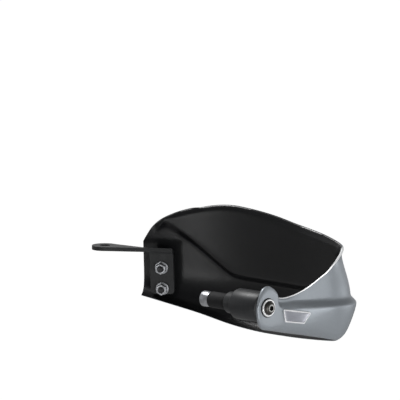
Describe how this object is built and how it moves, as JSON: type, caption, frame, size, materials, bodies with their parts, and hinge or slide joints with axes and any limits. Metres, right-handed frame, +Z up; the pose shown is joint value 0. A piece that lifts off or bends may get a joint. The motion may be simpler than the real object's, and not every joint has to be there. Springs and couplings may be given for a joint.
{
  "type": "motorcycle hand guard",
  "caption": "Right-hand wrap-round hand guard: moulded shell with a stepped bumper, a lug screwed to a bar-end spacer with a rubber expander, and an inner bracket with a mirror-stem eye.",
  "frame": {"origin": "on the axis of the handlebar, in the plane where the end spacer's neck meets the end of the bar tube", "axes": "+X outboard along the bar axis, +Y forward in the riding direction, +Z up"},
  "size_m": [0.301, 0.1447, 0.1272],
  "materials": {
    "shell": "satin bluish grey outside, textured black inside",
    "badge": "satin grey with a pale border",
    "black_screw": "black zinc",
    "bright_washer": "bright turned",
    "black_rubber": "matte",
    "steel": "zinc plated",
    "spacer": "matte black",
    "bracket": "black powder coat"
  },
  "bodies": {
    "root": {"guard_shell": "shell", "badge_plate": "badge", "end_screw": "black_screw", "cup_washer": "bright_washer", "seal_washer": "black_rubber", "lug_bush": "steel", "end_spacer": "spacer", "expander_sleeve": "black_rubber", "expander_cone": "steel", "inner_bracket": "bracket", "inner_screw_upper": "black_screw", "inner_screw_lower": "black_screw", "inner_washer_upper": "steel", "inner_washer_lower": "steel", "inner_sleeve_upper": "steel", "inner_sleeve_lower": "steel", "rubber_ring_upper": "black_rubber", "rubber_ring_lower": "black_rubber", "inner_nut_upper": "steel", "inner_nut_lower": "steel"}
  },
  "joints": []
}
